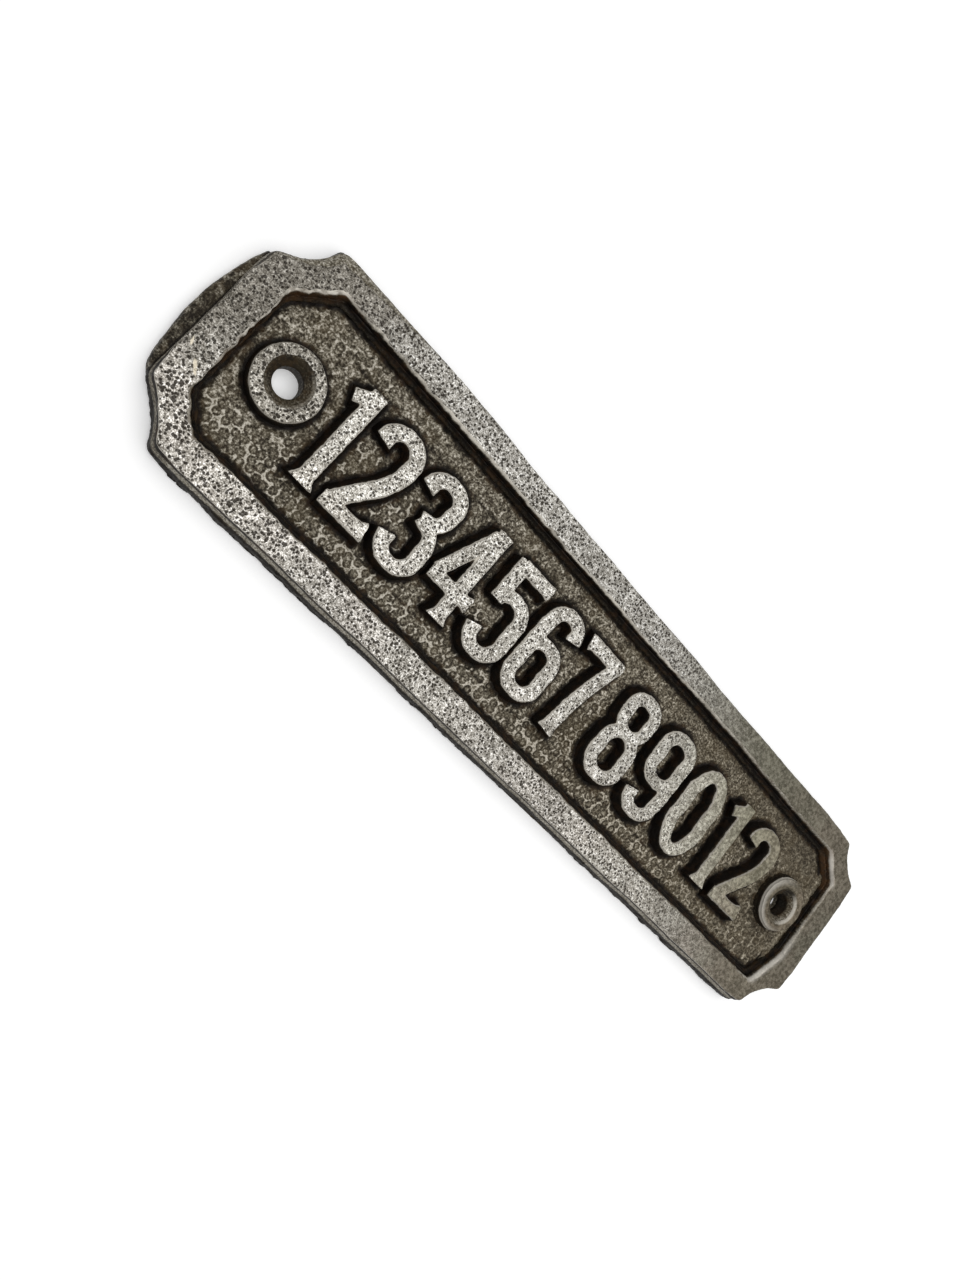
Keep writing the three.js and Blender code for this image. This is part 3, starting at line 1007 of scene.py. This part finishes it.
def borderMaterial():
    # bands on the outer wall, a worn lip and a black wall in the recess, soft grey where the rim is rolled
    material, place, x, y, height, uneven = newMaterial("groundBorder")
    outX, outY = abs(x), abs(y)
    outer = span(largest(outX - 84.6, outY - 18.9, outX + outY - 97), 0, 0.3)
    share = uneven / groundHeight
    # the outer wall in bands: a dark rusty line under the ground face, a light grey strip, and below the
    # parting line a dark band of painted shade
    bands = ramp(share, (0.1, 0.2), (0.2, 0.05), (0.47, 0.05), (0.54, 0.72), (0.79, 0.74), (0.84, 0.1),
                 (0.945, 0.1), (0.975, 0.7))
    bands -= span(outX + outY, 98, 100) * 0.2  # darker in the scoops
    rightEnd = span(x, 72, 80)
    # the lip's tone rises to light grey at the ground face: a painted highlight on the worn edge, less at the
    # right end
    lips = ramp(share, (0.6, 0.3), (0.8, 0.2), (0.88, 0.45), (1.0, 0.8)) - rightEnd * 0.12
    # the recess wall is black, dark patina with painted shade, lighter at its foot and at the right end where
    # painted light falls
    wallDepth = mix(rightEnd, span(uneven, 4.5, 4.1), span(uneven, 4.2, 3.7)) * span(uneven, 3.0, 3.6, 0.7, 1)
    line = span(share, 0.79, 0.84) * span(share, 0.97, 0.945)
    # the outer wall's foot is black with painted shade
    foot = span(share, 0.53, 0.47, 0, 0.85)
    rolled = span(attribute(place, "rolledShade"), 0.05, 0.3)
    unrolled = 1.0 - rolled
    shown = mix(rolled, mix(outer, lips, bands), 0.68)
    # the upper diagonals of the recess and its left wall are brown rather than black
    cornered = span(outX + outY, 90.2, 92.2)
    brown = largest(cornered * span(y, 4, 9), span(x, -79, -81, 0, 0.6) * span(y, -9, -4))
    depth = mix(outer, wallDepth, line * 0.7 + foot) * (1.0 - brown * 0.3)
    rust = mix(outer, 0.7, line * 0.5 + 0.1)
    slope = useGroup(oldPatina, place, Tone=shown, Depth=depth * unrolled, Rust=rust * unrolled)
    brown *= span(noise(place, 1.6, 2.0, 0.6), 0.35, 0.6, 0.2, 0.8) * (1.0 - outer)
    slope["Colour"] = blend(brown, slope["Colour"], tone(72, 48, 24))
    # the recess's worn edge shines with a painted highlight, at the right end chiefly along the diagonals
    patches = span(noise(place, 3), 0.34, 0.56, 0.5, 1)
    specks = mix(span(x, -45, -65, 0, 0.8), 1.0, span(noise(place, 0.9), 0.4, 0.58, 0.35, 1))
    inside = span(y, -10, 4, 0.3, 1) * span(x, 10, 55, 1, 0.2) * patches * specks
    shine = mix(outer, mix(rightEnd, inside, (cornered * 0.25 + 0.3) * patches), 0.75)
    wornSheen = span(uneven, 4.42, 4.7) * shine * unrolled * mix(outer, 1.0, span(share, 0.95, 0.98))
    flecks = largest(fleck(place, (-83.35, -8.5), -48, 1.35, 0.32),
                     fleck(place, (-86.15, -6.05), -70, 0.8, 0.25))
    # how far outside the recess a place lies at the right end, below and above, and how bright its worn slope
    # is there, a painted sheen
    alongX = x - 82.25
    lowerWay = largest(alongX, alongX * 0.936 - (y + 7.35) * 0.353)
    upperWay = alongX * 0.6 + (y - 11.75) * 0.8
    lowerRubSheen = span(lowerWay, -0.5, 0) * span(lowerWay, 1.9, 0.3) * span(y, 1, -8, 0, 0.6)
    upperRubSheen = span(upperWay, -0.5, 0) * span(upperWay, 1.0, 0.2) * span(y, 10, 13, 0.2, 0.6)
    lowerRubSheen *= span(y, -17.0, -15.8)
    upperRubSheen *= span(x, 83.8, 82.6) * span(x, 76.3, 78.5)
    rubbedSheen = largest(lowerRubSheen, upperRubSheen) * span(x, 75.5, 78) * span(uneven, 4.2, 4.6)
    groundAbove(place, height, 0.6, slope, wornSheen, flecks, rubbedSheen=rubbedSheen)
    return material


def bossMaterial(name, start, full, middle, bore, sink, shaded, rim, innerRim, tint, glow=0.0):
    # olive-brown countersinks and dark bores, darker towards the upper left, and black-brown slopes outside,
    # each with painted shade
    material, place, x, y, height, uneven = newMaterial(name)
    away = x - middle
    radius = maths("SQRT", away * away + y * y)
    inner = span(radius, 5.3, 4.9)
    # inside the ring: the countersink's tone, black deep in the bore as painted shade, and painted shade
    # towards the upper left
    inside = ramp(uneven / groundHeight, (0.64, bore), (0.7, 0.0), (0.76, sink - 0.1), (0.94, sink),
                  (1.0, sink + 0.35))
    inside += maths("SINE", uneven * 11.0) * 0.1 - span(y - away, -1, 4, 0, shaded)
    outside = span(uneven, start - 0.4, full - 0.1, 0.1, 0.8)
    # the outer slope is black, dark patina with painted shade, and glow paints light on its lower part
    wallDepth = span(uneven, start - 0.2, start - 1) * span(uneven, 3.3, 3.9, 1 - glow, 1)
    depth = mix(inner, wallDepth, span(uneven, 3.5, 3.3, 0, 0.6 - bore))
    slope = useGroup(oldPatina, place, Tone=mix(inner, outside, inside), Depth=depth, Rust=0.35)
    wornSheen = span(uneven, start - 0.45, start - 0.2) * mix(inner, rim, span(away, 0.5, 3.5, 0, innerRim))
    # the outer edge is rubbed bright towards the lower left, a painted sheen on worn metal
    leftward = away * -0.9 - y * 0.35
    rubbedSheen = span(radius, 4.4, 5.5) * span(leftward, -3, 4.5, 0, glow)
    rubbedSheen *= span(uneven, start - 0.4, start - 0.1)
    groundAbove(place, height, 0.8, slope, wornSheen, tint=tint, start=start, full=full, rubbedSheen=rubbedSheen)
    return material


def numberMaterial():
    material, place, x, _, height, uneven = newMaterial("groundNumbers")
    # the figures' sides are dark patina with painted shade; their edges are worn with a painted highlight,
    # and the tint lifts their faces, more towards the right
    slope = useGroup(oldPatina, place, Tone=span(uneven, 4.6, 4.95, 0.1, 0.7), Depth=span(uneven, 4.75, 4.2),
                     Rust=0.5)
    tint = blend(span(x, 24, 44), (1.29, 1.29, 1.28, 1), (1.6, 1.6, 1.55, 1))
    edges = span(uneven, 4.6, 4.76, 0, 0.85) * span(x, 28, 50, 1, 0.55)
    groundAbove(place, height, 0.42, slope, edges, tint=tint)
    return material


def fieldMaterial():
    # dimples painted with a dark ring of shade and a bright rim of highlight where the punch struck, and soft
    # black-brown grooves of patina and painted shade
    material, place, x, y = newMaterial("patinatedField")[:4]
    groove = attribute(place, "grooveShade")
    far = span(x + y, -10, 60)  # the calmer upper right
    top = span(y, 7, 11)
    swing = mix(far, 2.7, 1.5) * span(y, 5, 10, 1, 0.75)
    loose = (noise(place, 0.8) - 0.5) * swing + 0.6
    # each dimple gets a bright rim of painted highlight and a dark ring of painted shade inside it
    rings = ramp(attribute(place, "markShade"), (0.0, 0.58), (0.1, 0.9), (0.24, 0.64), (0.42, 0.24),
                 (0.7, 0.18), (0.92, 0.46)) * 1.5 - 0.12
    boss = metres(*bossSizes["left"]["place"], fieldSizes["height"])
    fromBoss = wire(place.tree, "VectorMath", "Value", {"operation": "DISTANCE"}, i0=place, i1=boss)
    fromBoss *= 1 / mm
    punched = span(noise(place, 5, 3.0, 0.6), 0.4, 0.6, 0.2, 0.9) * span(fromBoss, 7, 9.5, 0.25, 1)
    punched = largest(punched * span(y, -2, 8, 1, 0.55), span(y, -6, -11, 0, 0.75)) * mix(far, 1.0, 0.5)
    # lighter or darker along the sign, in the upper and lower bands, at both ends and on the sill; the
    # darkening at the ends is painted shade
    shown = mix(punched, loose, rings) - span(x, -20, 65, 0, 0.09)
    shown += mix(top, 0.045, top * span(x, -60, -30, 0.04, -0.02))
    shown += span(y, -8, -11, 0, 0.05)
    shown -= span(x, -50, -65) * span(y, 2, 9, 0, 0.04) + span(x, 56, 68, 0, 0.045)
    shown = mix(span(x, 79.6, 80.9, 0, 0.85), shown, 0.72)
    # painted shade: darker near whatever stands on the field, below the upper wall and round the left boss;
    # black at the groove's deepest is dark patina with painted shade
    shown -= largest(span(groove, 0.0, 0.7, 0, 0.3), span(y, 13.6, 16, 0, 0.3),
                     span(fromBoss, 9, 6.2, 0, 0.26))
    rust = span(groove, 0.05, 0.4) * 0.3 + 0.08
    patina = useGroup(oldPatina, place, Tone=shown, Depth=span(groove, 0.38, 0.95), Rust=rust,
                      Calm=span(x, 30, 75, 0, 0.4))
    colour = blend(span(x, -40, 60, 0.3, 0.9), patina["Colour"], (1.03, 0.99, 0.93, 1), "MULTIPLY")
    finishMaterial(colour, patina["Roughness"], patina["Height"], 0.35, 0.12)
    return material


def plainPatina(name, low, high, rust, size, crease=(90, 91)):
    # rough iron, black past the crease
    material, place, x = newMaterial(name)[:3]
    broad = noise(place, size, 3.0, 0.6)
    patina = useGroup(oldPatina, place, Tone=span(broad, 0.35, 0.7, low, high),
                      Depth=span(x, *crease, 0, 0.9), Rust=rust)
    finishMaterial(patina["Colour"], patina["Roughness"], patina["Height"] + broad * 1.5, 0.3, 0.15)
    return material


def dress(piece, material, slot, *nodes):
    piece.data.materials.clear()
    piece.data.materials.append(material)
    if nodes:
        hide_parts(*nodes)
    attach(piece, "root")


dress(castBorder, borderMaterial(), "ground_border", "raised_border")
dress(castField, fieldMaterial(), "patinated_field", "field_plate")
dress(castBack, plainPatina("roughBack", 0.25, 0.6, 0.5, 3.0), "patinated_field", "field_plate")
brokenGate = plainPatina("brokenGate", 0.0, 0.72, 0.3, 1.2, (-88.15, -87.85))
dress(gateStub, brokenGate, "patinated_field", "field_plate")
# the left boss's tint darkens it with painted shade, as at the left end of the ground
groundBoss = bossMaterial("groundBoss", start=4.93, full=4.985, middle=-72.6, bore=0.35, sink=0.42,
                          shaded=0.45, rim=0.5, innerRim=0.1, tint=tone(238, 236, 232))
# the right boss's glow is painted light on the lower part of its outer slope and a painted sheen on its lower
# left edge
wornBoss = bossMaterial("wornBoss", start=4.65, full=4.87, middle=74.25, bore=0.0, sink=0.56,
                        shaded=0.5, rim=0.9, innerRim=0.6, tint=(1.08, 1.03, 0.98, 1), glow=0.6)
dress(bossLeft, groundBoss, "ground_boss", "screw_boss_left")
dress(bossRight, wornBoss, "ground_boss", "screw_boss_right")
groundNumbers = numberMaterial()
for number in numbers:
    dress(number, groundNumbers, "ground_numbers")


# A white table under a wide soft light, seen as in the photograph

studio = {
    "floorSize": 3.0, "floorColour": (0.95, 0.95, 0.95, 1), "floorGlow": 0.18,
    "lampPower": 3.0, "lampSize": 0.9, "lampPlace": (0.1, 0.1, 0.6), "worldStrength": 0.45,
    "cameraPlace": (-0.08621, -0.03934, 0.15499), "cameraTurn": (-8.1533, -24.9606, 45.0371), "lens": 27.03,
}


def makeTable():
    # the floor glows a little where it is seen directly, so that it reads as white
    bpy.ops.mesh.primitive_plane_add(size=studio["floorSize"], location=(0, 0, -0.02 * mm))
    floor = named("whiteTable")
    material = bpy.data.materials.new("whiteTable")
    tree = emptyTree(material)
    path = outputsOf(addNode(tree, "LightPath"))
    seen = largest(path["Is Camera Ray"], path["Is Glossy Ray"], path["Is Transmission Ray"])
    paper = wire(tree, "BsdfDiffuse", Color=studio["floorColour"])
    glow = wire(tree, "Emission", Color=(1, 1, 1, 1), Strength=seen * studio["floorGlow"])
    addNode(tree, "OutputMaterial", Surface=wire(tree, "AddShader", i0=paper, i1=glow))
    floor.data.materials.append(material)


def makeRoom():
    world = bpy.data.worlds.new("paleRoom")
    bpy.context.scene.world = world
    tree = emptyTree(world)
    light = wire(tree, "Background", Color=(1, 1, 1, 1), Strength=studio["worldStrength"])
    white = wire(tree, "Background", Color=(1, 1, 1, 1), Strength=1.0)
    seen = wire(tree, "LightPath", "Is Camera Ray")
    addNode(tree, "OutputWorld", Surface=wire(tree, "MixShader", i0=seen, i1=light, i2=white))
    bpy.ops.object.light_add(type="AREA", location=studio["lampPlace"])
    lamp = bpy.context.object
    lamp.name = "softLamp"
    lamp.data.shape = "DISK"
    lamp.data.size = studio["lampSize"]
    lamp.data.energy = studio["lampPower"]


def placeCamera():
    turn = [radians(angle) for angle in studio["cameraTurn"]]
    bpy.ops.object.camera_add(location=studio["cameraPlace"], rotation=turn)
    camera, scene = bpy.context.object, bpy.context.scene
    camera.data.lens = studio["lens"]
    camera.data.sensor_width = 36
    camera.data.clip_start = 1 * mm
    scene.camera = camera
    scene.view_settings.view_transform = "Standard"


makeTable()
makeRoom()
placeCamera()
print("studio: set")
